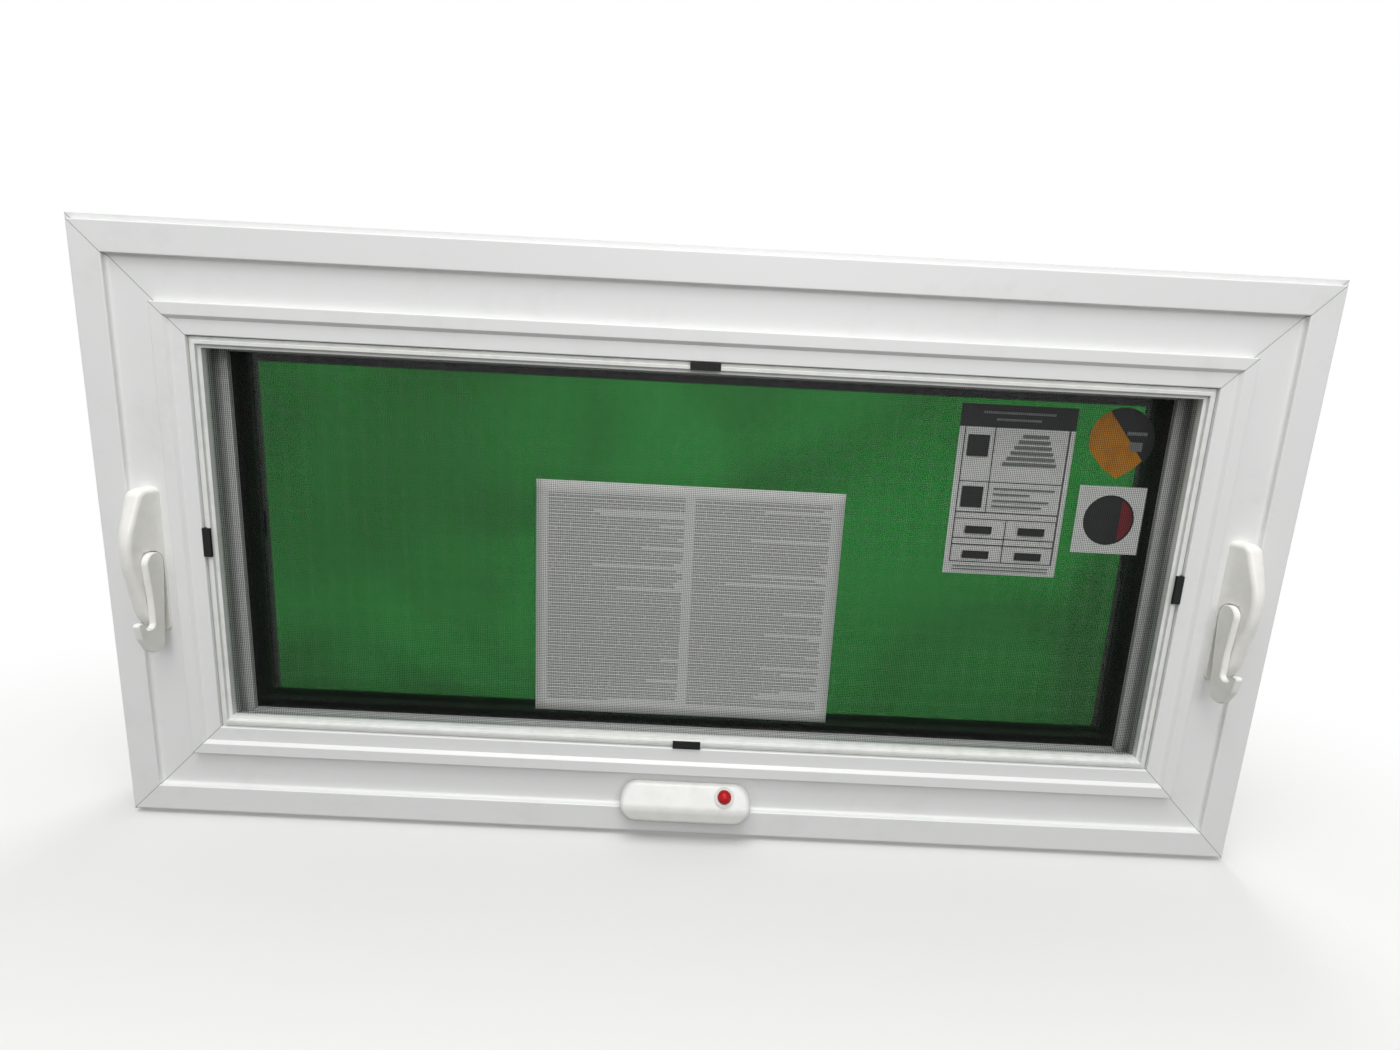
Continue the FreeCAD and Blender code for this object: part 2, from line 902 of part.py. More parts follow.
def build_lock():
    """Build the left lock's case, pin and lever, and mirror them to the right."""
    left = LEFT_X + D["lock_inset"]
    base_z = MID_Z - D["lock_tail"]
    pivot = D["lock_tail"] - D["lever_pivot_drop"]
    lever_x = D["lock_width"] - D["lever_width"] + D["lever_proud"]
    slot_x = lever_x - D["lever_gap"]
    case = place(lock_case(pivot, slot_x), left, depth_of(ZERO), base_z)

    pivot_y = depth_of(-D["lever_pivot_rise"])
    pivot_z = base_z + pivot
    pin_x = left + slot_x - D["lever_pin_bite"]
    seat = pin("LeverPinSeat", pin_x, pivot_y, pivot_z, D["lever_pin_radius"], D["lever_pin_bite"])
    left_case = node(cut("LeftLockCase", case, seat), "left_lock_case")
    sunk = D["lever_width"] - D["lever_pin_cover"]
    left_pin = node(pin("LeftLeverPin", pin_x, pivot_y, pivot_z, D["lever_pin_radius"],
                        D["lever_pin_bite"] + D["lever_gap"] + sunk - D["pin_play"]),
                    "left_lever_pin")
    lever = place(lock_lever(), left + lever_x, pivot_y, pivot_z)
    bore = pin("LeverBore", left + lever_x - D["cut_margin"], pivot_y, pivot_z,
               D["lever_pin_radius"] + D["pin_play"], sunk + D["cut_margin"])
    left_lever = node(cut("LeftLockLever", lever, bore), "left_lock_lever")

    node(mirrored("RightLockCase", left_case), "right_lock_case")
    node(mirrored("RightLeverPin", left_pin), "right_lever_pin")
    node(mirrored("RightLockLever", left_lever), "right_lock_lever")


def operator_cover():
    """Build the operator's pillow shaped cover with its sloping upper face.

    Returns:
        The body.
    """
    wide = D["operator_width"]
    tall = D["operator_height"]
    rise = D["operator_rise"]
    body = DOC.addObject("PartDesign::Body", "OperatorCoverBody")
    shape = [(ZERO, ZERO), (wide, ZERO), (wide, tall), (ZERO, tall)]
    block = pad(body, outline(body, "XZ_Plane", shape, "CoverOutline"), rise, "CoverBlock")
    uprights = edges_at(block.Shape, lambda edge, middle: abs(
        edge.Vertexes[0].Y - edge.Vertexes[-1].Y) > SNAP)
    fillet(body, block, uprights, D["operator_corner"], "CoverEnds")
    slope = outline(body, "YZ_Plane", [
        (-rise, D["operator_slope_start"]),
        (-(rise + D["cut_margin"]), D["operator_slope_start"]),
        (-(rise + D["cut_margin"]), tall),
        (-D["operator_slope_low"], tall),
    ], "CoverSlopeLine")
    solid = pocket(body, slope, None, "CoverSlope")
    ridge = along_edges(solid.Shape, "x", [(-rise, D["operator_slope_start"])])
    solid = fillet(body, solid, ridge, D["operator_slope_round"], "CoverRidge")
    faces = [face for face in solid.Shape.Faces
             if face.normalAt(*face.Surface.parameter(face.CenterOfMass)).y < FACING_ROOM]

    def rim(edge, middle):
        return sum(face.distToShape(Part.Vertex(middle))[0] < SNAP for face in faces) == 1

    fillet(body, solid, edges_at(solid.Shape, rim), D["operator_round"], "CoverRim")
    side = (wide - D["operator_foot_width"]) / 2
    low = D["operator_foot_inset"] - D["operator_inset"]
    foot = outline(body, "XZ_Plane", [
        (side, low),
        (wide - side, low),
        (wide - side, low + D["operator_foot_height"]),
        (side, low + D["operator_foot_height"]),
    ], "CoverFootOutline")
    pad(body, foot, D["channel_setback"], "CoverFoot", reverse=True)
    return place(body, D["operator_offset"] - wide / 2, depth_of(ZERO),
                 D["edge_overhang"] + D["operator_inset"])


def on_spindle(obj, back):
    """Place a round piece on the leaning spindle line.

    Args:
        obj: The piece, drawn along Z.
        back: How far behind the cover's face it starts.
    Returns:
        The same piece.
    """
    tilt = D["spindle_tilt"]
    y = depth_of(-D["spindle_rise"])
    z = D["edge_overhang"] + D["spindle_inset"]
    lean = Dim.of(RIGHT_ANGLE) - tilt
    obj.Placement = FreeCAD.Placement(FreeCAD.Vector(0, 0, 0), FreeCAD.Rotation(
        FreeCAD.Vector(1, 0, 0), lean.value))
    bind(obj, "Placement.Rotation.Angle", lean)
    bind(obj, "Placement.Base.x", D["spindle_offset"])
    for prop, start, sign, wave in (("y", y, "+", "cos"), ("z", z, "-", "sin")):
        obj.setExpression("Placement.Base." + prop, "%s %s %s * %s(%s * 1deg)" % (
            start.text, sign, back.text, wave, tilt.text))
    return obj


def build_operator():
    """Build the crank operator's cover, its spindle collar and the red spindle cap."""
    def collar(name):
        rod = DOC.addObject("Part::Cylinder", name)
        bind(rod, "Radius", D["collar_radius"])
        bind(rod, "Height", D["collar_length"])
        return on_spindle(rod, D["collar_length"] - D["collar_stand"])

    node(cut("OperatorCover", operator_cover(), collar("CollarSeat")), "operator_cover")
    node(collar("SpindleCollar"), "spindle_collar")
    cap = DOC.addObject("Part::Sphere", "SpindleCap")
    bind(cap, "Radius", D["cap_radius"])
    cap.Angle1 = 0
    node(on_spindle(cap, -D["collar_stand"]), "spindle_cap")


def build_hinges():
    """Build the left hinge's track, arm and sash plate, and mirror them to the right."""
    wall = LEFT_X + D["rebate_inset"]
    axis_y = depth_of(D["axis_setback"])
    axis_z = D["edge_overhang"] + D["face_height"] - D["axis_inset"]
    arm_y = depth_of(D["arm_setback"])
    arm_z = axis_z - D["arm_pivot_drop"]
    arm_x = wall + D["track_thick"] + D["arm_gap"]
    plate_x = LEFT_X + D["sash_inset"] - D["plate_thick"]
    margin = D["cut_margin"]

    strip = box("LeftTrackStrip", wall, axis_y + D["track_edge"] - D["track_width"],
                axis_z + D["track_top"] - D["track_length"], D["track_thick"], D["track_width"],
                D["track_length"])
    pivot = pin("LeftHingePin", wall, axis_y, axis_z, D["hinge_pin_radius"],
                D["sash_inset"] - D["rebate_inset"] - D["hinge_pin_short"])
    arm_pin = pin("LeftArmPin", wall, arm_y, arm_z, D["arm_pin_radius"],
                  D["track_thick"] + D["arm_gap"] + D["arm_thick"] + D["arm_pin_proud"])
    track = node(fused("LeftHingeTrack", [strip, pivot, arm_pin]), "left_hinge_track")

    half = D["arm_width"] / 2
    bar = box("LeftArmBar", arm_x, arm_y - half, arm_z, D["arm_thick"], D["arm_width"],
              D["arm_length"])
    low = pin("LeftArmLowEnd", arm_x, arm_y, arm_z, half, D["arm_thick"])
    high = pin("LeftArmHighEnd", arm_x, arm_y, arm_z + D["arm_length"], half, D["arm_thick"])
    stud = pin("LeftArmStud", arm_x, arm_y, arm_z + D["arm_length"], D["arm_pin_radius"],
               plate_x - arm_x - D["arm_stud_play"])
    whole = fused("LeftArmWhole", [bar, low, high, stud])
    hole = pin("LeftArmHole", arm_x - margin, arm_y, arm_z, D["arm_pin_radius"] + D["pin_play"],
               D["arm_thick"] + margin * 2)
    arm = node(cut("LeftHingeArm", whole, hole), "left_hinge_arm")

    eye = pin("LeftPlateEye", plate_x, axis_y, axis_z, D["plate_eye"], D["plate_thick"])
    neck = box("LeftPlateNeck", plate_x, axis_y - D["plate_eye"], axis_z - D["plate_neck_length"],
               D["plate_thick"], D["plate_neck_width"], D["plate_neck_length"])
    leaf = box("LeftPlateLeaf", plate_x, axis_y - D["plate_leaf_setback"] - D["plate_width"],
               axis_z - D["plate_length"], D["plate_thick"], D["plate_width"],
               D["plate_length"] - D["plate_leaf_drop"])
    whole = fused("LeftPlateWhole", [eye, neck, leaf])
    hole = pin("LeftPlateHole", plate_x - margin, axis_y, axis_z,
               D["hinge_pin_radius"] + D["pin_play"], D["plate_thick"] + margin * 2)
    plate = node(cut("LeftHingePlate", whole, hole), "left_hinge_plate")

    node(mirrored("RightHingeTrack", track), "right_hinge_track")
    node(mirrored("RightHingeArm", arm), "right_hinge_arm")
    node(mirrored("RightHingePlate", plate), "right_hinge_plate")


def check_and_write():
    """Check every object and write one STEP file for each node."""
    DOC.recompute()
    for obj in DOC.Objects:
        if "Invalid" in obj.State or "Error" in obj.State:
            raise RuntimeError("%s is in state %s" % (obj.Label, obj.State))
    os.makedirs("parts", exist_ok=True)
    for obj in NODES:
        shape = obj.Shape
        if shape.isNull() or not shape.isValid() or not shape.Solids:
            raise RuntimeError("%s has no valid solid" % obj.Label)
        shape.exportStep("parts/%s.step" % obj.Label)
        room = shape.BoundBox
        print("%-22s %d solids %10.0f mm3  x %.1f..%.1f  y %.1f..%.1f  z %.1f..%.1f" % (
            obj.Label, len(shape.Solids), shape.Volume, room.XMin, room.XMax, room.YMin,
            room.YMax, room.ZMin, room.ZMax))


build_frame()
build_sash()
build_seal()
build_screen()
build_lock()
build_operator()
build_hinges()
check_and_write()
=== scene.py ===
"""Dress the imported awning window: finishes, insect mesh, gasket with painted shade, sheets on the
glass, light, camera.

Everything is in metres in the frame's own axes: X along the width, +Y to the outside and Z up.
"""
from __future__ import annotations

import json
import logging
import math
from dataclasses import dataclass
from enum import Enum
from typing import Any, Iterable, Sequence

import bpy
from mathutils import Matrix, Vector

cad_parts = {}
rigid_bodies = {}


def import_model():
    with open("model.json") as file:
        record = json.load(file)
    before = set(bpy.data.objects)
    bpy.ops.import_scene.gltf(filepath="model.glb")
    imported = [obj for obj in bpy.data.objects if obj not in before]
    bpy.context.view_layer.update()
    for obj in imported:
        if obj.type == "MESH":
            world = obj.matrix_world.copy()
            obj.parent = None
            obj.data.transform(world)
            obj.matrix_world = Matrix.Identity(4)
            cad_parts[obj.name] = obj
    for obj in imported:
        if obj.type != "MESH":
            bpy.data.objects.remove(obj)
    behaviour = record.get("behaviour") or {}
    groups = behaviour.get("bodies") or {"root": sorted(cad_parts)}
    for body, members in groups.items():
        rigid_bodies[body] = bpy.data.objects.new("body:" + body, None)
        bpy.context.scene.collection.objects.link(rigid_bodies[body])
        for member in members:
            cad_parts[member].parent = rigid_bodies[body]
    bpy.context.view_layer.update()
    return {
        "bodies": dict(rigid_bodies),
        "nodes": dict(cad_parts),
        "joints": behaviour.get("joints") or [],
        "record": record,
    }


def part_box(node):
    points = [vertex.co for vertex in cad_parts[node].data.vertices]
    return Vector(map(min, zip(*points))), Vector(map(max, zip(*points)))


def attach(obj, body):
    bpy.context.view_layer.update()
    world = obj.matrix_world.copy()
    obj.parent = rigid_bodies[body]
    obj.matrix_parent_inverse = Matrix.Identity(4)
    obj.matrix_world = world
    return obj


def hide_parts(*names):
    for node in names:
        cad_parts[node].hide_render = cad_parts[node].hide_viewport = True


LOG = logging.getLogger("awning_window")
MM = 0.001
IMAGE_WIDTH = 1400
SIDES = ("left", "right")
ENDS = ("top", "bottom")
WHITE = (1.0, 1.0, 1.0, 1.0)

MATH = "ShaderNodeMath"
MIX = "ShaderNodeMix"
NOISE = "ShaderNodeTexNoise"
RANGE = "ShaderNodeMapRange"


class Run(Enum):
    """The way a vinyl bar was extruded, as how fast its streaks change along each axis."""

    ALONG_X = (0.02, 1.0, 1.0)
    ALONG_Z = (1.0, 1.0, 0.02)


def linear(code: str) -> tuple[float, float, float, float]:
    """Turn an sRGB hex colour into a linear one.

    Args:
        code: Colour such as "#E2E4E1".
    Returns:
        Red, green, blue and full alpha.
    """
    parts = [int(code[i:i + 2], 16) / 255.0 for i in (1, 3, 5)]
    red, green, blue = (
        c / 12.92 if c <= 0.04045 else ((c + 0.055) / 1.055) ** 2.4 for c in parts
    )
    return red, green, blue, 1.0


def add(tree: bpy.types.NodeTree, kind: str, inputs: dict[Any, Any] | None = None,
        **settings: Any) -> bpy.types.Node:
    """Add one node with its settings, values and links.

    Args:
        tree: The node tree.
        kind: Blender's node type.
        inputs: Socket name or number to a value, or to an output socket or a node to link. A node
            gives its first output.
        settings: Attributes of the node.
    Returns:
        The node.
    """
    node = tree.nodes.new(kind)
    for name, value in settings.items():
        setattr(node, name, value)
    for name, value in (inputs or {}).items():
        source = value.outputs[0] if isinstance(value, bpy.types.Node) else value
        if isinstance(source, bpy.types.NodeSocket):
            tree.links.new(source, node.inputs[name])
        else:
            node.inputs[name].default_value = source
    return node


def start(name: str) -> tuple[bpy.types.Material, bpy.types.NodeTree]:
    """Start a material with an empty node tree.

    Args:
        name: The material's name.
    Returns:
        The material and its node tree.
    """
    material = bpy.data.materials.new(name)
    material.use_nodes = True
    material.node_tree.nodes.clear()
    return material, material.node_tree


@dataclass(frozen=True)
class Vinyl:
    """White rigid PVC, extruded and welded at the corners.

    The die leaves faint streaks along each bar, handling leaves grey scuffs, and the cleaned
    weld shows as a hairline at each mitre.
    """

    name: str
    run: Run
    colour: str = "#E6E7E6"
    scuff: str = "#C6C8C6"
    weld: str = "#8E9490"
    roughness: float = 0.36
    smoother: float = 0.06
    rougher: float = 0.1
    ior: float = 1.53
    streak_mm: float = 2.2
    streak_bump_mm: float = 0.05
    scuff_mm: float = 70.0
    scuff_span: tuple[float, float] = (0.55, 0.78)
    scuff_share: float = 0.3
    weld_mm: float = 0.55
    weld_core: float = 0.4
    weld_bump_mm: float = 0.2

    def build(self, half_width: float, half_height: float, middle: float) -> bpy.types.Material:
        """Make the material for one welded ring.

        Args:
            half_width: Half the ring's width.
            half_height: Half the ring's height.
            middle: Height of the ring's centre.
        Returns:
            The material.
        """
        material, tree = start(self.name)
        spot = add(tree, "ShaderNodeTexCoord").outputs["Object"]
        along = add(tree, "ShaderNodeVectorMath", {0: spot, 1: self.run.value},
                    operation="MULTIPLY")
        streak = add(tree, NOISE, {
            "Vector": along, "Scale": 1.0 / (self.streak_mm * MM), "Detail": 3.0})
        scuff = add(tree, NOISE, {
            "Vector": spot, "Scale": 1.0 / (self.scuff_mm * MM), "Detail": 7.0, "Roughness": 0.68})
        patch = add(tree, RANGE, {
            "Value": scuff, "From Min": self.scuff_span[0], "From Max": self.scuff_span[1],
            "To Max": self.scuff_share})
        stained = add(tree, MIX, {
            "Factor": patch, "A": linear(self.colour), "B": linear(self.scuff)}, data_type="RGBA")
        weld = self.weld_line(tree, spot, half_width - half_height, middle)
        joined = add(tree, MIX, {
            "Factor": weld, "A": stained.outputs["Result"], "B": linear(self.weld)},
            data_type="RGBA")
        gloss = add(tree, RANGE, {
            "Value": streak, "To Min": self.roughness - self.smoother,
            "To Max": self.roughness + self.rougher})
        low = add(tree, "ShaderNodeBump", {
            "Height": streak, "Strength": 0.12, "Distance": self.streak_bump_mm * MM})
        deep = add(tree, "ShaderNodeBump", {
            "Height": weld, "Strength": 0.5, "Distance": self.weld_bump_mm * MM, "Normal": low},
            invert=True)
        shader = add(tree, "ShaderNodeBsdfPrincipled", {
            "Base Color": joined.outputs["Result"], "Roughness": gloss, "IOR": self.ior,
            "Normal": deep})
        add(tree, "ShaderNodeOutputMaterial", {"Surface": shader})
        return material

    def weld_line(self, tree: bpy.types.NodeTree, spot: bpy.types.NodeSocket, lead: float,
                  middle: float) -> bpy.types.Node:
        """Mark the four diagonals on which the bars of a ring meet.

        Args:
            tree: The material's node tree.
            spot: The place on the surface.
            lead: How much half the ring's width is over half its height.
            middle: Height of the ring's centre.
        Returns:
            A node that gives 1 on the weld and 0 off it.
        """
        axes = add(tree, "ShaderNodeSeparateXYZ", {0: spot})
        across = add(tree, MATH, {0: axes.outputs["X"]}, operation="ABSOLUTE")
        level = add(tree, MATH, {0: axes.outputs["Z"], 1: middle}, operation="SUBTRACT")
        rise = add(tree, MATH, {0: level}, operation="ABSOLUTE")
        over = add(tree, MATH, {0: across, 1: rise}, operation="SUBTRACT")
        skew = add(tree, MATH, {0: over, 1: lead}, operation="SUBTRACT")
        gap = add(tree, MATH, {0: skew}, operation="ABSOLUTE")
        return add(tree, RANGE, {
            "Value": gap, "From Min": self.weld_mm * MM * self.weld_core,
            "From Max": self.weld_mm * MM, "To Min": 1.0, "To Max": 0.0})


@dataclass(frozen=True)
class Coated:
    """A coated or moulded surface with fine grain and faint mottling.

    Paint, enamel, moulded plastics, rubber and steel differ in colour, gloss and grain. The grain
    is drawn coarser than the real one, so that it shows.
    """

    name: str
    colour: str
    shade: str
    roughness: float
    grain_mm: float
    metallic: float = 0.0
    ior: float = 1.5
    shine: float = 0.5
    smoother: float = 0.05
    rougher: float = 0.08
    bump_mm: float = 0.03
    mottle_mm: float = 12.0
    mottle_span: tuple[float, float] = (0.45, 0.75)

    def build(self) -> bpy.types.Material:
        """Make the material, or find the one that is already made.

        Returns:
            The material.
        """
        made = bpy.data.materials.get(self.name)
        if made:
            return made
        material, tree = start(self.name)
        spot = add(tree, "ShaderNodeTexCoord").outputs["Object"]
        grain = add(tree, NOISE, {
            "Vector": spot, "Scale": 1.0 / (self.grain_mm * MM), "Detail": 4.0})
        mottle = add(tree, NOISE, {
            "Vector": spot, "Scale": 1.0 / (self.mottle_mm * MM), "Detail": 5.0})
        patch = add(tree, RANGE, {
            "Value": mottle, "From Min": self.mottle_span[0], "From Max": self.mottle_span[1]})
        tone = add(tree, MIX, {
            "Factor": patch, "A": linear(self.colour), "B": linear(self.shade)}, data_type="RGBA")
        gloss = add(tree, RANGE, {
            "Value": grain, "To Min": self.roughness - self.smoother,
            "To Max": self.roughness + self.rougher})
        bump = add(tree, "ShaderNodeBump", {
            "Height": grain, "Strength": 0.3, "Distance": self.bump_mm * MM})
        sockets = {
            "Base Color": tone.outputs["Result"], "Roughness": gloss, "Metallic": self.metallic,
            "Specular IOR Level": self.shine, "Normal": bump}
        if not self.metallic:
            sockets["IOR"] = self.ior
        shader = add(tree, "ShaderNodeBsdfPrincipled", sockets)
        add(tree, "ShaderNodeOutputMaterial", {"Surface": shader})
        return material


# Dull silver with a fine even grain.
STEEL = Coated("Stainless_steel", "#B8BAB9", "#A8AAA9", 0.3, 0.25, metallic=1.0)
# Matt black that takes almost no light.
RUBBER = Coated("EPDM_rubber", "#0B0C0C", "#111212", 0.7, 0.5, shine=0.2)


@dataclass(frozen=True)
class Pane:
    """Float glass with a green body tint.

    The eye sees a deep green that slowly gets lighter and darker across the pane, and a faint
    haze where the glass was wiped.
    """

    name: str = "Float_glass"
    tint: str = "#50B068"
    deep_tint: str = "#3A954A"
    ior: float = 1.52
    mirror: float = 0.06
    cloud_mm: float = 240.0
    cloud_span: tuple[float, float] = (0.35, 0.68)
    haze_mm: float = 71.4
    haze_span: tuple[float, float] = (0.5, 0.8)
    haze_roughness: float = 0.012

    def build(self) -> bpy.types.Material:
        """Make the material: clear to light, with a faint gloss.

        Returns:
            The material.
        """
        material, tree = start(self.name)
        spot = add(tree, "ShaderNodeTexCoord").outputs["Object"]
        cloud = add(tree, NOISE, {
            "Vector": spot, "Scale": 1.0 / (self.cloud_mm * MM), "Detail": 3.0, "Distortion": 1.2})
        depth = add(tree, RANGE, {
            "Value": cloud, "From Min": self.cloud_span[0], "From Max": self.cloud_span[1]})
        body = add(tree, MIX, {
            "Factor": depth, "A": linear(self.tint), "B": linear(self.deep_tint)},
            data_type="RGBA")
        haze = add(tree, NOISE, {
            "Vector": spot, "Scale": 1.0 / (self.haze_mm * MM), "Detail": 5.0})
        film = add(tree, RANGE, {
            "Value": haze, "From Min": self.haze_span[0], "From Max": self.haze_span[1],
            "To Max": self.haze_roughness})
        shader = add(tree, "ShaderNodeBsdfPrincipled", {
            "Base Color": body.outputs["Result"], "Roughness": film, "IOR": self.ior,
            "Specular IOR Level": self.mirror, "Transmission Weight": 1.0})
        add(tree, "ShaderNodeOutputMaterial", {"Surface": shader})
        return material


@dataclass(frozen=True)
class PrintedPaper:
    """Uncoated white paper with two columns of small grey print.

    The eye sees even grey rows with small breaks, drawn coarser than print so that they hold.
    """

    name: str = "Printed_paper"
    paper: str = "#F1F2EF"
    ink: str = "#5C6260"
    roughness: float = 0.62
    row_mm: float = 3.0
    row_fill: float = 0.56
    word_mm: float = 2.6
    word_span: tuple[float, float] = (0.3, 0.46)
    row_step: float = 7.0
    short_rarity: float = 9.0
    short_share: float = 0.7
    columns: int = 2
    margin_mm: float = 11.0
    gutter_mm: float = 9.0
    ink_share: float = 0.5
    fibre_mm: float = 0.6
    fibre_bump_mm: float = 0.03

    def build(self, wide: float, tall: float) -> bpy.types.Material:
        """Make the material for one sheet, whose origin is its centre.

        Args:
            wide: The sheet's width.
            tall: The sheet's height.
        Returns:
            The material.
        """
        material, tree = start(self.name)
        spot = add(tree, "ShaderNodeTexCoord").outputs["Object"]
        page = add(tree, MIX, {
            "Factor": self.print_share(tree, spot, wide, tall), "A": linear(self.paper),
            "B": linear(self.ink)}, data_type="RGBA")
        fibre = add(tree, NOISE, {
            "Vector": spot, "Scale": 1.0 / (self.fibre_mm * MM), "Detail": 4.0})
        bump = add(tree, "ShaderNodeBump", {
            "Height": fibre, "Strength": 0.2, "Distance": self.fibre_bump_mm * MM})
        shader = add(tree, "ShaderNodeBsdfPrincipled", {
            "Base Color": page.outputs["Result"], "Roughness": self.roughness, "Normal": bump})
        add(tree, "ShaderNodeOutputMaterial", {"Surface": shader})
        return material

    def print_share(self, tree: bpy.types.NodeTree, spot: bpy.types.NodeSocket, wide: float,
                    tall: float) -> bpy.types.Node:
        """Work out how much ink lies on each spot of the sheet.

        Args:
            tree: The material's node tree.
            spot: The place on the sheet.
            wide: The sheet's width.
            tall: The sheet's height.
        Returns:
            A node that gives the share of ink.
        """
        axes = add(tree, "ShaderNodeSeparateXYZ", {0: spot})
        x, z = axes.outputs["X"], axes.outputs["Z"]
        margin = self.margin_mm * MM
        gutter = self.gutter_mm * MM
        column = (wide - 2 * margin + gutter) / self.columns
        inset = add(tree, MATH, {0: x, 1: wide / 2 - margin}, operation="ADD")
        part = add(tree, MATH, {0: inset, 1: column}, operation="DIVIDE")
        number = add(tree, MATH, {0: part}, operation="FLOOR")
        row = add(tree, MATH, {0: z, 1: self.row_mm * MM}, operation="DIVIDE")
        line = add(tree, MATH, {0: row}, operation="FLOOR")
        seat = add(tree, "ShaderNodeCombineXYZ", {0: number, 1: line})
        chance = add(tree, "ShaderNodeTexWhiteNoise", {"Vector": seat})
        rare = add(tree, MATH, {0: chance.outputs["Value"], 1: self.short_rarity},
                   operation="POWER")
        short = add(tree, MATH, {0: rare, 1: self.short_share}, operation="MULTIPLY")
        end = add(tree, MATH, {0: 1.0 - gutter / column, 1: short}, operation="SUBTRACT")
        reach = add(tree, MATH, {0: x, 1: self.word_mm * MM}, operation="DIVIDE")
        strip = add(tree, MATH, {0: line, 1: self.row_step}, operation="MULTIPLY")
        word_spot = add(tree, "ShaderNodeCombineXYZ", {0: reach, 1: strip})
        words = add(tree, NOISE, {"Vector": word_spot, "Scale": 1.0, "Detail": 2.0})
        inked = add(tree, RANGE, {
            "Value": words, "From Min": self.word_span[0], "From Max": self.word_span[1],
            "To Max": self.ink_share})
        in_column = add(tree, MATH, {0: part}, operation="FRACT")
        in_row = add(tree, MATH, {0: row}, operation="FRACT")
        for limit in (
            add(tree, MATH, {0: x, 1: 0.0, 2: wide / 2 - margin}, operation="COMPARE"),
            add(tree, MATH, {0: z, 1: 0.0, 2: tall / 2 - margin}, operation="COMPARE"),
            add(tree, MATH, {0: in_column, 1: end}, operation="LESS_THAN"),
            add(tree, MATH, {0: in_row, 1: self.row_fill}, operation="LESS_THAN"),
        ):
            inked = add(tree, MATH, {0: inked, 1: limit}, operation="MULTIPLY")
        return inked


def mesh_object(name: str, points: Sequence[Sequence[float]],
                faces: Iterable[Sequence[int]]) -> bpy.types.Object:
    """Make a mesh object and put it in the scene.

    Args:
        name: The piece's name.
        points: Its vertices.
        faces: Its faces as vertex numbers.
    Returns:
        The object.
    """
    mesh = bpy.data.meshes.new(name)
    mesh.from_pydata([tuple(p) for p in points], [], [tuple(f) for f in faces])
    mesh.update()
    piece = bpy.data.objects.new(name, mesh)
    bpy.context.scene.collection.objects.link(piece)
    return piece


def block(points: list, faces: list, low: Sequence[float], high: Sequence[float]) -> None:
    """Add a closed box to a growing mesh.

    Args:
        points: Vertices, which grow.
        faces: Faces, which grow.
        low: Lowest corner.
        high: Highest corner.
    """
    first = len(points)
    for z in (low[2], high[2]):
        points += [(low[0], low[1], z), (high[0], low[1], z), (high[0], high[1], z),
                   (low[0], high[1], z)]
    quads = ((0, 3, 2, 1), (4, 5, 6, 7), (0, 1, 5, 4), (1, 2, 6, 5), (2, 3, 7, 6), (3, 0, 4, 7))
    faces += [tuple(first + i for i in quad) for quad in quads]


def give_finish(frame: dict, names: Sequence[str], finish: bpy.types.Material) -> None:
    """Give CAD nodes a finish.

    Args:
        names: The nodes.
        finish: The material.
    """
    for name in names:
        for slot in frame["nodes"][name].material_slots:
            slot.material = finish
    LOG.info("%s on %d nodes", finish.name, len(names))


@dataclass(frozen=True)
class WeldedRing:
    """Two level and two upright vinyl bars, welded into a ring, and the beads along them."""

    name: str
    level: tuple[str, ...]
    upright: tuple[str, ...]
    level_beads: tuple[str, ...] = ()
    upright_beads: tuple[str, ...] = ()

    def measures(self) -> tuple[float, float, float]:
        """Measure the ring.

        Returns:
            Half its width, half its height and the height of its centre.
        """
        boxes = [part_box(name) for name in self.level + self.upright]
        left, low = (min(box[0][axis] for box in boxes) for axis in (0, 2))
        right, high = (max(box[1][axis] for box in boxes) for axis in (0, 2))
        return (right - left) / 2, (high - low) / 2, (high + low) / 2

    def dress(self, frame: dict) -> None:
        """Give each bar the vinyl that was extruded its way.
        """
        for run, names in ((Run.ALONG_X, self.level + self.level_beads),
                           (Run.ALONG_Z, self.upright + self.upright_beads)):
            vinyl = Vinyl(f"Rigid_PVC_{self.name}_{run.name.lower()}", run)
            give_finish(frame, names, vinyl.build(*self.measures()))


def frame_ring() -> WeldedRing:
    """Name the bars of the frame.

    Returns:
        The ring.
    """
    return WeldedRing("frame", ("frame_head", "frame_sill"),
                      tuple(f"frame_{side}_jamb" for side in SIDES))


def sash_ring() -> WeldedRing:
    """Name the bars and beads of the sash.

    Returns:
        The ring.
    """
    return WeldedRing("sash", tuple(f"sash_{end}_rail" for end in ENDS),
                      tuple(f"sash_{side}_stile" for side in SIDES),
                      tuple(f"{end}_glazing_bead" for end in ENDS),
                      tuple(f"{side}_glazing_bead" for side in SIDES))


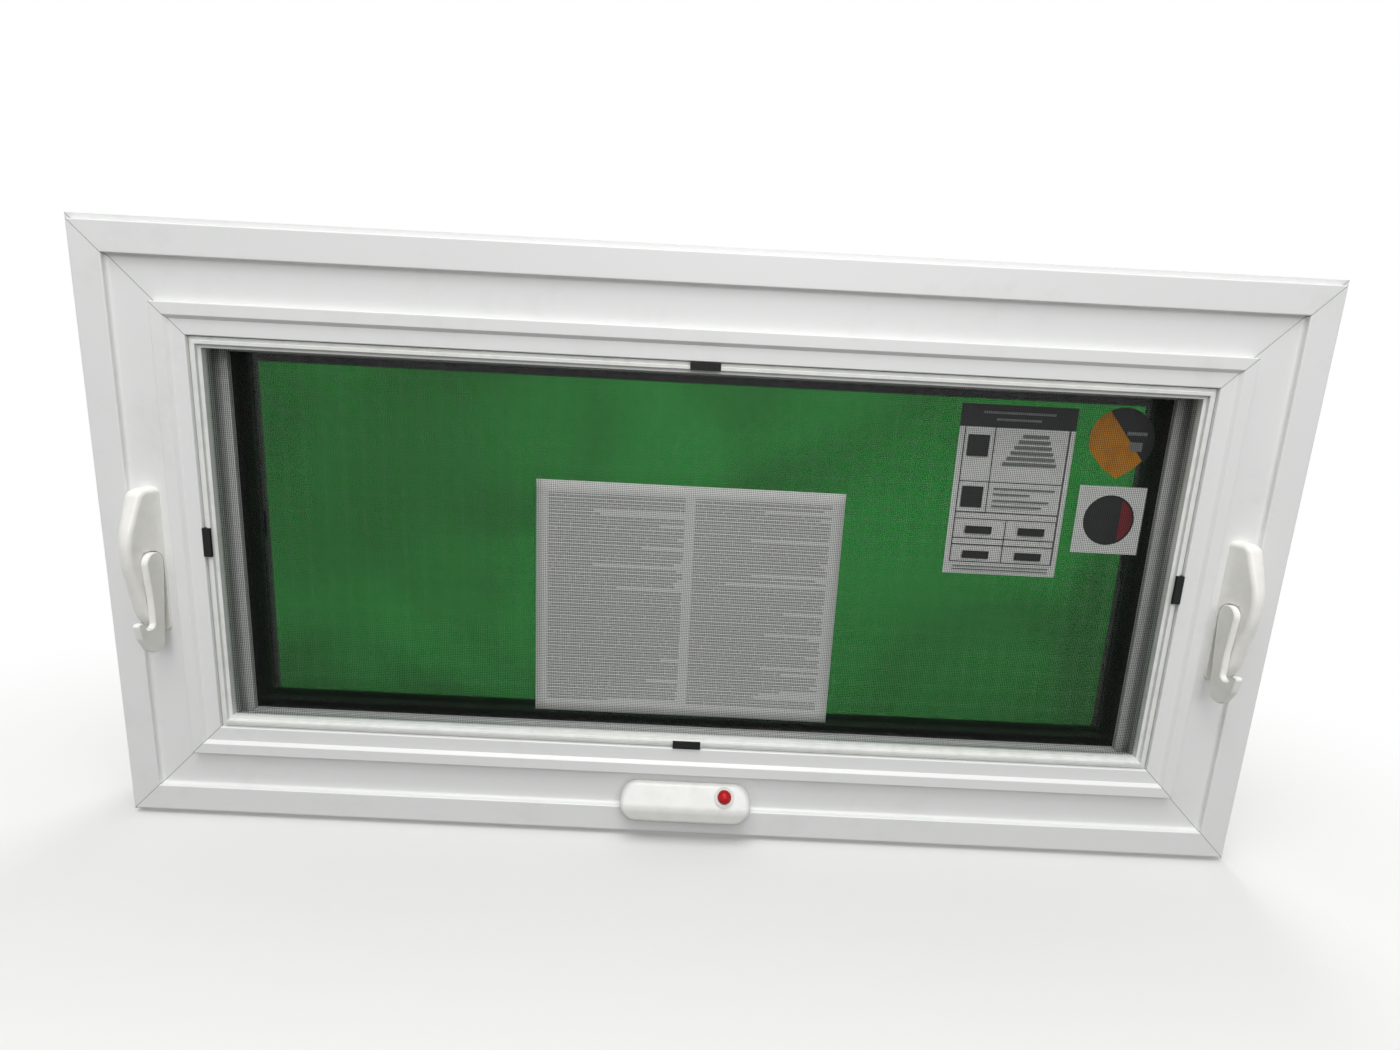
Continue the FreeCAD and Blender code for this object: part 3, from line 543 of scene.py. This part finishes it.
@dataclass(frozen=True)
class InsectScreen:
    """The screen: four painted bars, four clips and a mesh with real strands.

    The pitch gives 16 strands to the inch, as in a common insect mesh.
    """

    pitch_mm: float = 1.6
    strand_mm: float = 0.2
    # Smooth white paint with a low gloss.
    paint: Coated = Coated("Painted_aluminium", "#E6E7E4", "#DADCD9", 0.34, 0.4)
    # Dead black, slightly grainy.
    nylon: Coated = Coated("Black_nylon", "#08090A", "#0D0E0F", 0.55, 0.5, shine=0.25)
    # Charcoal yarn that only dims what lies behind it.
    yarn: Coated = Coated("Coated_glass_yarn", "#141615", "#1A1C1B", 0.7, 0.3, shine=0.15)

    def dress(self, frame: dict) -> None:
        """Finish the bars and the clips.
        """
        edges = ENDS + SIDES
        give_finish(frame, [f"screen_{edge}_bar" for edge in edges], self.paint.build())
        give_finish(frame, [f"{edge}_screen_clip" for edge in edges], self.nylon.build())

    def weave(self) -> bpy.types.Object:
        """Lay the strands across the screen's opening, the upright ones in front.

        Returns:
            The mesh piece.
        """
        low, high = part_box("screen_mesh")
        half = self.strand_mm * MM / 2
        middle = (low[1] + high[1]) / 2
        points: list = []
        faces: list = []
        for axis, lift in ((0, -half), (2, half)):
            other = 2 - axis
            count = int((high[axis] - low[axis]) / (self.pitch_mm * MM))
            step = (high[axis] - low[axis]) / count
            for index in range(1, count):
                at = low[axis] + index * step
                first = [0.0, middle + lift - half, 0.0]
                last = [0.0, middle + lift + half, 0.0]
                first[axis], last[axis] = at - half, at + half
                first[other], last[other] = low[other], high[other]
                block(points, faces, first, last)
        piece = mesh_object("insect_mesh", points, faces)
        piece.data.materials.append(self.yarn.build())
        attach(piece, "frame")
        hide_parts("screen_mesh")
        return piece


@dataclass(frozen=True)
class Locks:
    """The case, lever and pin on each jamb."""

    # Warm white with a soft gloss, as if dipped.
    enamel: Coated = Coated("Baked_enamel", "#F0EFEA", "#E8E7E1", 0.3, 0.9, bump_mm=0.02)

    def dress(self, frame: dict) -> None:
        """Finish the cases, levers and pins.
        """
        enamelled = [f"{side}_lock_{part}" for side in SIDES for part in ("case", "lever")]
        give_finish(frame, enamelled, self.enamel.build())
        give_finish(frame, [f"{side}_lever_pin" for side in SIDES], STEEL.build())


@dataclass(frozen=True)
class Operator:
    """The crank operator on the sill: cover, collar and capped spindle."""

    # Bright white with a clear gloss.
    cover: Coated = Coated("Moulded_ABS", "#DEDEDB", "#D6D6D2", 0.25, 0.7, bump_mm=0.02)
    # A shade greyer than the cover, so that the collar shows as a ring.
    collar: Coated = Coated("Milky_nylon", "#C8C9C7", "#BCBDBB", 0.22, 0.7, bump_mm=0.02)
    # Clear strong red with a small highlight.
    cap: Coated = Coated("Red_polyethylene", "#B4060E", "#9E060C", 0.36, 0.6, shine=0.3)

    def dress(self, frame: dict) -> None:
        """Finish the cover, the collar and the cap.
        """
        give_finish(frame, ["operator_cover"], self.cover.build())
        give_finish(frame, ["spindle_collar"], self.collar.build())
        give_finish(frame, ["spindle_cap"], self.cap.build())


@dataclass(frozen=True)
class Hinges:
    """The steel track, arm and plate on each side."""

    parts: tuple[str, ...] = ("track", "arm", "plate")

    def dress(self, frame: dict) -> None:
        """Finish the hinge parts.
        """
        names = [f"{side}_hinge_{part}" for side in SIDES for part in self.parts]
        give_finish(frame, names, STEEL.build())


@dataclass(frozen=True)
class Glazing:
    """The panes, their spacer, the weatherstrip and the rubber lip outside the outer pane, which is
    partly a gasket and partly painted shade.
    """

    lip_mm: float = 1.4
    back_gap_mm: float = 1.0
    round_mm: float = 0.5
    glass: Pane = Pane()

    def dress(self, frame: dict) -> None:
        """Finish the panes and the seals.
        """
        give_finish(frame, ["frame_weatherstrip", "glass_spacer"], RUBBER.build())
        give_finish(frame, ["interior_glass", "exterior_glass"], self.glass.build())

    def line_with_gasket_and_shade(self) -> bpy.types.Object:
        """Run the rubber lip round the opening of the sash: a glazing gasket that also paints shade on
        the exterior glazing leg.

        Returns:
            The piece.
        """
        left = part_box("sash_left_stile")[1][0]
        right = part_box("sash_right_stile")[0][0]
        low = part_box("sash_bottom_rail")[1][2]
        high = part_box("sash_top_rail")[0][2]
        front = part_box("exterior_glass")[1][1]
        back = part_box("sash_left_stile")[1][1] - self.back_gap_mm * MM
        points: list = []
        for inset in (0.0, self.lip_mm * MM):
            for y in (front, back):
                points += [(left + inset, y, low + inset), (right - inset, y, low + inset),
                           (right - inset, y, high - inset), (left + inset, y, high - inset)]
        faces: list = []
        for ring_a, ring_b in ((0, 4), (4, 12), (12, 8), (8, 0)):
            for corner in range(4):
                after = (corner + 1) % 4
                faces.append((ring_a + corner, ring_a + after, ring_b + after, ring_b + corner))
        # Painted shade: the black lip lines the inner face of the exterior glazing leg, which is white
        # vinyl in shade, and also stands for a black glazing gasket.
        piece = mesh_object("glazing_gasket", points, faces)
        soft = piece.modifiers.new("Soft_edge", "BEVEL")
        soft.width = self.round_mm * MM
        soft.segments = 2
        piece.data.materials.append(RUBBER.build())
        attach(piece, "sash")
        return piece


@dataclass(frozen=True)
class DeliverySheet:
    """The letter sized sheet that hangs on the room side of the inner pane."""

    centre_mm: tuple[float, float] = (-7.0, 215.0)
    size_mm: tuple[float, float] = (278.0, 222.0)
    curl_mm: float = 0.5
    ripple: float = 0.4
    ripple_turns: tuple[float, float] = (5.0, 3.0)
    stand_off_mm: float = 0.7
    thick_mm: float = 0.12
    steps: int = 24
    paper: PrintedPaper = PrintedPaper()

    def build(self) -> bpy.types.Object:
        """Hang the sheet with a slight curl along its edges.

        Returns:
            The piece.
        """
        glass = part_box("interior_glass")[0][1]
        wide, tall = (size * MM for size in self.size_mm)
        across = self.steps + 1
        points: list = []
        faces: list = []
        for row in range(across):
            rise = row / self.steps * 2 - 1
            for step in range(across):
                run = step / self.steps * 2 - 1
                wave = math.sin(self.ripple_turns[0] * run + self.ripple_turns[1] * rise)
                curl = rise ** 4 + run ** 4 + self.ripple * wave
                points.append((run * wide / 2, -curl * self.curl_mm * MM, rise * tall / 2))
                if row and step:
                    at = row * across + step
                    faces.append((at - across - 1, at - across, at, at - 1))
        piece = mesh_object("delivery_sheet", points, faces)
        x, z = self.centre_mm
        piece.location = (x * MM, glass - self.stand_off_mm * MM, z * MM)
        piece.modifiers.new("Paper", "SOLIDIFY").thickness = self.thick_mm * MM
        piece.data.materials.append(self.paper.build(wide, tall))
        for face in piece.data.polygons:
            face.use_smooth = True
        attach(piece, "sash")
        return piece


class Ink(Enum):
    """The films and inks of the stickers: name, colour and its shade.

    Each gives the eye a flat patch with a slight gloss.
    """

    WHITE = ("White_label_film", "#F0F1EE", "#E8E9E6")
    BLACK = ("Black_label_ink", "#151718", "#1D1F20")
    GREY = ("Grey_label_ink", "#7C8280", "#868C8A")
    AMBER = ("Amber_label_film", "#D08A1C", "#B9741A")
    RED = ("Red_label_ink", "#7E1A22", "#6C151C")


def bar(left: float, low: float, right: float, high: float) -> list[tuple[float, float]]:
    """Give the corners of an upright rectangle.

    Args:
        left: Its left side in millimetres.
        low: Its lower side.
        right: Its right side.
        high: Its upper side.
    Returns:
        Four corners.
    """
    return [(left, low), (right, low), (right, high), (left, high)]


def disc(x: float, z: float, radius: float, begin: float = 0.0,
         stop: float = 360.0) -> list[tuple[float, float]]:
    """Give the corners of a disc, or of a part of it.

    Args:
        x: Its centre in millimetres.
        z: The same.
        radius: Its radius.
        begin: The angle it starts at.
        stop: The angle it ends at.
    Returns:
        Corners, counter-clockwise.
    """
    count = 32
    turns = [math.radians(begin + (stop - begin) * i / count) for i in range(count + 1)]
    if stop - begin >= 360.0:
        turns.pop()
    return [(x + radius * math.cos(a), z + radius * math.sin(a)) for a in turns]


@dataclass(frozen=True)
class Sticker:
    """One flat film on the inner pane, with a plain pattern of bars, blocks and discs."""

    name: str
    centre_mm: tuple[float, float]
    marks: list[tuple[Ink, list[tuple[float, float]]]]
    film_mm: float = 0.06
    roughness: float = 0.4
    grain_mm: float = 0.8

    def build(self) -> bpy.types.Object:
        """Stack the marks on the glass, one thin film over the other.

        Returns:
            The piece.
        """
        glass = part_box("interior_glass")[0][1]
        points: list = []
        faces: list = []
        for level, (_, corners) in enumerate(self.marks, start=1):
            first = len(points)
            points += [(x * MM, -level * self.film_mm * MM, z * MM) for x, z in corners]
            faces.append(range(first, len(points)))
        piece = mesh_object(self.name, points, faces)
        x, z = self.centre_mm
        piece.location = (x * MM, glass - self.film_mm * MM, z * MM)
        piece.modifiers.new("Film", "SOLIDIFY").thickness = self.film_mm * MM / 2
        inks = list(dict.fromkeys(ink for ink, _ in self.marks))
        for ink in inks:
            film = Coated(*ink.value, self.roughness, self.grain_mm)
            piece.data.materials.append(film.build())
        for face, (ink, _) in zip(piece.data.polygons, self.marks):
            face.material_index = inks.index(ink)
        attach(piece, "sash")
        return piece


def tall_label() -> Sticker:
    """Lay out the ruled label: a dark band over boxes, rows and blocks.

    Returns:
        The label.
    """
    marks = [(Ink.WHITE, bar(-51.5, -77, 51.5, 77)), (Ink.BLACK, bar(-51.5, 57, 51.5, 77))]
    marks += [(Ink.GREY, bar(-half, z, half, z + 2)) for half, z in ((32, 69), (20, 63))]
    marks += [(Ink.BLACK, bar(-46, z, 46, z + 0.8)) for z in (8, -20, -26, -44, -50, -66)]
    marks += [(Ink.BLACK, bar(x, low, x + 0.8, high))
              for x, low, high in ((-20, -20, 57), (0, -66, -26), (-46.8, -66, 57), (46, -66, 57))]
    marks += [(Ink.BLACK, bar(-43, z, -24, z + 19)) for z in (31, -15)]
    marks += [(Ink.GREY, bar(-10 + 3 * i, 24 + 5 * i, 38 - 2 * i, 27 + 5 * i)) for i in range(6)]
    marks += [(Ink.GREY, bar(-15, z, reach, z + 1.6))
              for z, reach in ((2, 40), (-3, 18), (-9, 36), (-14, 30))]
    marks += [(Ink.BLACK, bar(x, z, x + 24, z + 7)) for x in (-36, 12) for z in (-39, -62)]
    marks += [(Ink.GREY, bar(-44, z, 44, z + 1.1)) for z in (-70, -73)]
    return Sticker("tall_label", (278.5, 335.0), marks)


def square_label() -> Sticker:
    """Lay out the square label: a white film with a disc of two tones.

    Returns:
        The label.
    """
    return Sticker("square_label", (371.5, 314.0), [
        (Ink.WHITE, bar(-30.5, -31, 30.5, 31)),
        (Ink.BLACK, disc(0, 0, 23)),
        (Ink.RED, disc(0, 0, 21, -62, 62)),
    ])


def amber_label() -> Sticker:
    """Lay out the amber label: a drop shaped film with a dark disc over it.

    Returns:
        The label.
    """
    drop = disc(0, 3, 29, -20, 200) + [(-14, -22), (0, -31), (14, -22)]
    return Sticker("amber_label", (371.5, 383.0), [
        (Ink.AMBER, drop),
        (Ink.BLACK, disc(0, 3, 29, -40, 118)),
        (Ink.GREY, bar(4, 8, 22, 11)),
        (Ink.GREY, bar(8, -6, 19, 2)),
    ])


@dataclass(frozen=True)
class Lamp:
    """One round, soft lamp: where it hangs, how wide it is and its power in watts."""

    name: str
    place: tuple[float, float, float]
    size: float
    power: float

    def hang(self, target: tuple[float, float, float]) -> None:
        """Put the lamp in the scene.

        Args:
            target: The point it shines at.
        """
        data = bpy.data.lights.new(self.name, "AREA")
        data.shape = "DISK"
        data.size = self.size
        data.energy = self.power
        lamp = bpy.data.objects.new(self.name, data)
        lamp.location = self.place
        aim = Vector(target) - Vector(self.place)
        lamp.rotation_euler = aim.to_track_quat("-Z", "Y").to_euler()
        bpy.context.scene.collection.objects.link(lamp)


@dataclass(frozen=True)
class Studio:
    """Pale floor, soft light and the camera."""

    focal_px: float = 732.0
    eye: tuple[float, float, float] = (-0.0035, -0.6534, 0.4273)
    pitch: float = 11.86
    yaw: float = 0.09
    roll: float = 2.89
    sensor_mm: float = 36.0
    clip_start: float = 0.01
    floor_reach: float = 12.0
    floor_colour: str = "#E6E6E4"
    floor_bounce: str = "#5A5A58"
    floor_roughness: float = 0.9
    window_half: float = 0.5
    white_reach: float = 0.55
    sky_light: float = 0.42
    target: tuple[float, float, float] = (0.0, 0.0, 0.25)
    lamps: tuple[Lamp, ...] = (
        Lamp("Key", (-0.2, -1.0, 2.6), 1.8, 36.0),
        Lamp("Fill", (0.4, -2.8, 1.8), 2.2, 40.0),
        Lamp("Back", (0.5, 2.4, 2.2), 2.0, 38.0),
    )

    def build_camera(self) -> None:
        """Stand the camera where the photograph was taken from."""
        data = bpy.data.cameras.new("Camera")
        data.sensor_width = self.sensor_mm
        data.lens = self.sensor_mm * self.focal_px / IMAGE_WIDTH
        data.clip_start = self.clip_start
        camera = bpy.data.objects.new("Camera", data)
        turn = (Matrix.Rotation(math.radians(self.pitch), 3, "X")
                @ Matrix.Rotation(math.radians(self.yaw), 3, "Y")
                @ Matrix.Rotation(math.radians(self.roll), 3, "Z"))
        # The image's right, down and forward are the frame's +X, -Z and +Y.
        image_to_frame = Matrix(((1, 0, 0), (0, 0, 1), (0, -1, 0)))
        # The camera's own Y points up and its Z points back.
        camera_to_image = Matrix(((1, 0, 0), (0, -1, 0), (0, 0, -1)))
        view = image_to_frame @ turn.transposed() @ camera_to_image
        camera.matrix_world = Matrix.Translation(Vector(self.eye)) @ view.to_4x4()
        bpy.context.scene.collection.objects.link(camera)
        bpy.context.scene.camera = camera

    def build_light(self) -> None:
        """Light the window softly from above, mostly from in front."""
        for lamp in self.lamps:
            lamp.hang(self.target)
        world = bpy.data.worlds.new("Studio")
        world.use_nodes = True
        tree = world.node_tree
        tree.nodes.clear()
        strength = add(tree, RANGE, {
            "Value": self.seen_directly(tree), "To Min": self.sky_light, "To Max": 1.0})
        glow = add(tree, "ShaderNodeBackground", {"Color": WHITE, "Strength": strength})
        add(tree, "ShaderNodeOutputWorld", {"Surface": glow})
        bpy.context.scene.world = world

    def seen_directly(self, tree: bpy.types.NodeTree) -> bpy.types.Node:
        """Tell rays that see the background from rays that carry light to the window.

        Args:
            tree: The world's or the floor's node tree.
        Returns:
            A node that gives 1 for camera, glossy and transmission rays.
        """
        path = add(tree, "ShaderNodeLightPath")
        shiny = add(tree, MATH, {
            0: path.outputs["Is Glossy Ray"], 1: path.outputs["Is Transmission Ray"]},
            operation="MAXIMUM")
        return add(tree, MATH, {0: path.outputs["Is Camera Ray"], 1: shiny}, operation="MAXIMUM")

    def build_floor(self) -> None:
        """Lay a pale floor that holds the window's shadow and turns white further off."""
        reach = self.floor_reach
        floor = mesh_object("studio_floor", [(-reach, -reach, 0), (reach, -reach, 0),
                                             (reach, reach, 0), (-reach, reach, 0)], [(0, 1, 2, 3)])
        material, tree = start("Pale_floor")
        seen = self.seen_directly(tree)
        tone = add(tree, MIX, {
            "Factor": seen, "A": linear(self.floor_bounce), "B": linear(self.floor_colour)},
            data_type="RGBA")
        matt = add(tree, "ShaderNodeBsdfPrincipled", {
            "Base Color": tone.outputs["Result"], "Roughness": self.floor_roughness})
        spot = add(tree, "ShaderNodeTexCoord").outputs["Object"]
        axes = add(tree, "ShaderNodeSeparateXYZ", {0: spot})
        side = add(tree, MATH, {0: axes.outputs["X"]}, operation="ABSOLUTE")
        beside = add(tree, MATH, {0: side, 1: self.window_half}, operation="SUBTRACT")
        past = add(tree, MATH, {0: beside, 1: 0.0}, operation="MAXIMUM")
        offset = add(tree, "ShaderNodeCombineXYZ", {0: past, 1: axes.outputs["Y"]})
        away = add(tree, "ShaderNodeVectorMath", {0: offset}, operation="LENGTH")
        far = add(tree, RANGE, {"Value": away.outputs["Value"], "From Max": self.white_reach},
                  interpolation_type="SMOOTHSTEP")
        share = add(tree, MATH, {0: far, 1: seen}, operation="MULTIPLY")
        glow = add(tree, "ShaderNodeEmission", {"Color": WHITE, "Strength": 1.0})
        mixed = add(tree, "ShaderNodeMixShader", {0: share, 1: matt, 2: glow})
        add(tree, "ShaderNodeOutputMaterial", {"Surface": mixed})
        floor.data.materials.append(material)


def main() -> None:
    """Load the frame, dress its nodes, add the scene's own pieces and set the stage."""
    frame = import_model()
    screen = InsectScreen()
    glazing = Glazing()
    for group in (frame_ring(), sash_ring(), screen, Locks(), Operator(), Hinges(), glazing):
        group.dress(frame)
    pieces = [screen.weave(), glazing.line_with_gasket_and_shade(), DeliverySheet().build()]
    pieces += [label.build() for label in (tall_label(), square_label(), amber_label())]
    for piece in pieces:
        LOG.info("%s: %d faces", piece.name, len(piece.data.polygons))
    studio = Studio()
    studio.build_floor()
    studio.build_light()
    studio.build_camera()
    bpy.context.scene.view_settings.view_transform = "Standard"


if __name__ == "__main__":
    logging.basicConfig(level=logging.INFO)
    main()
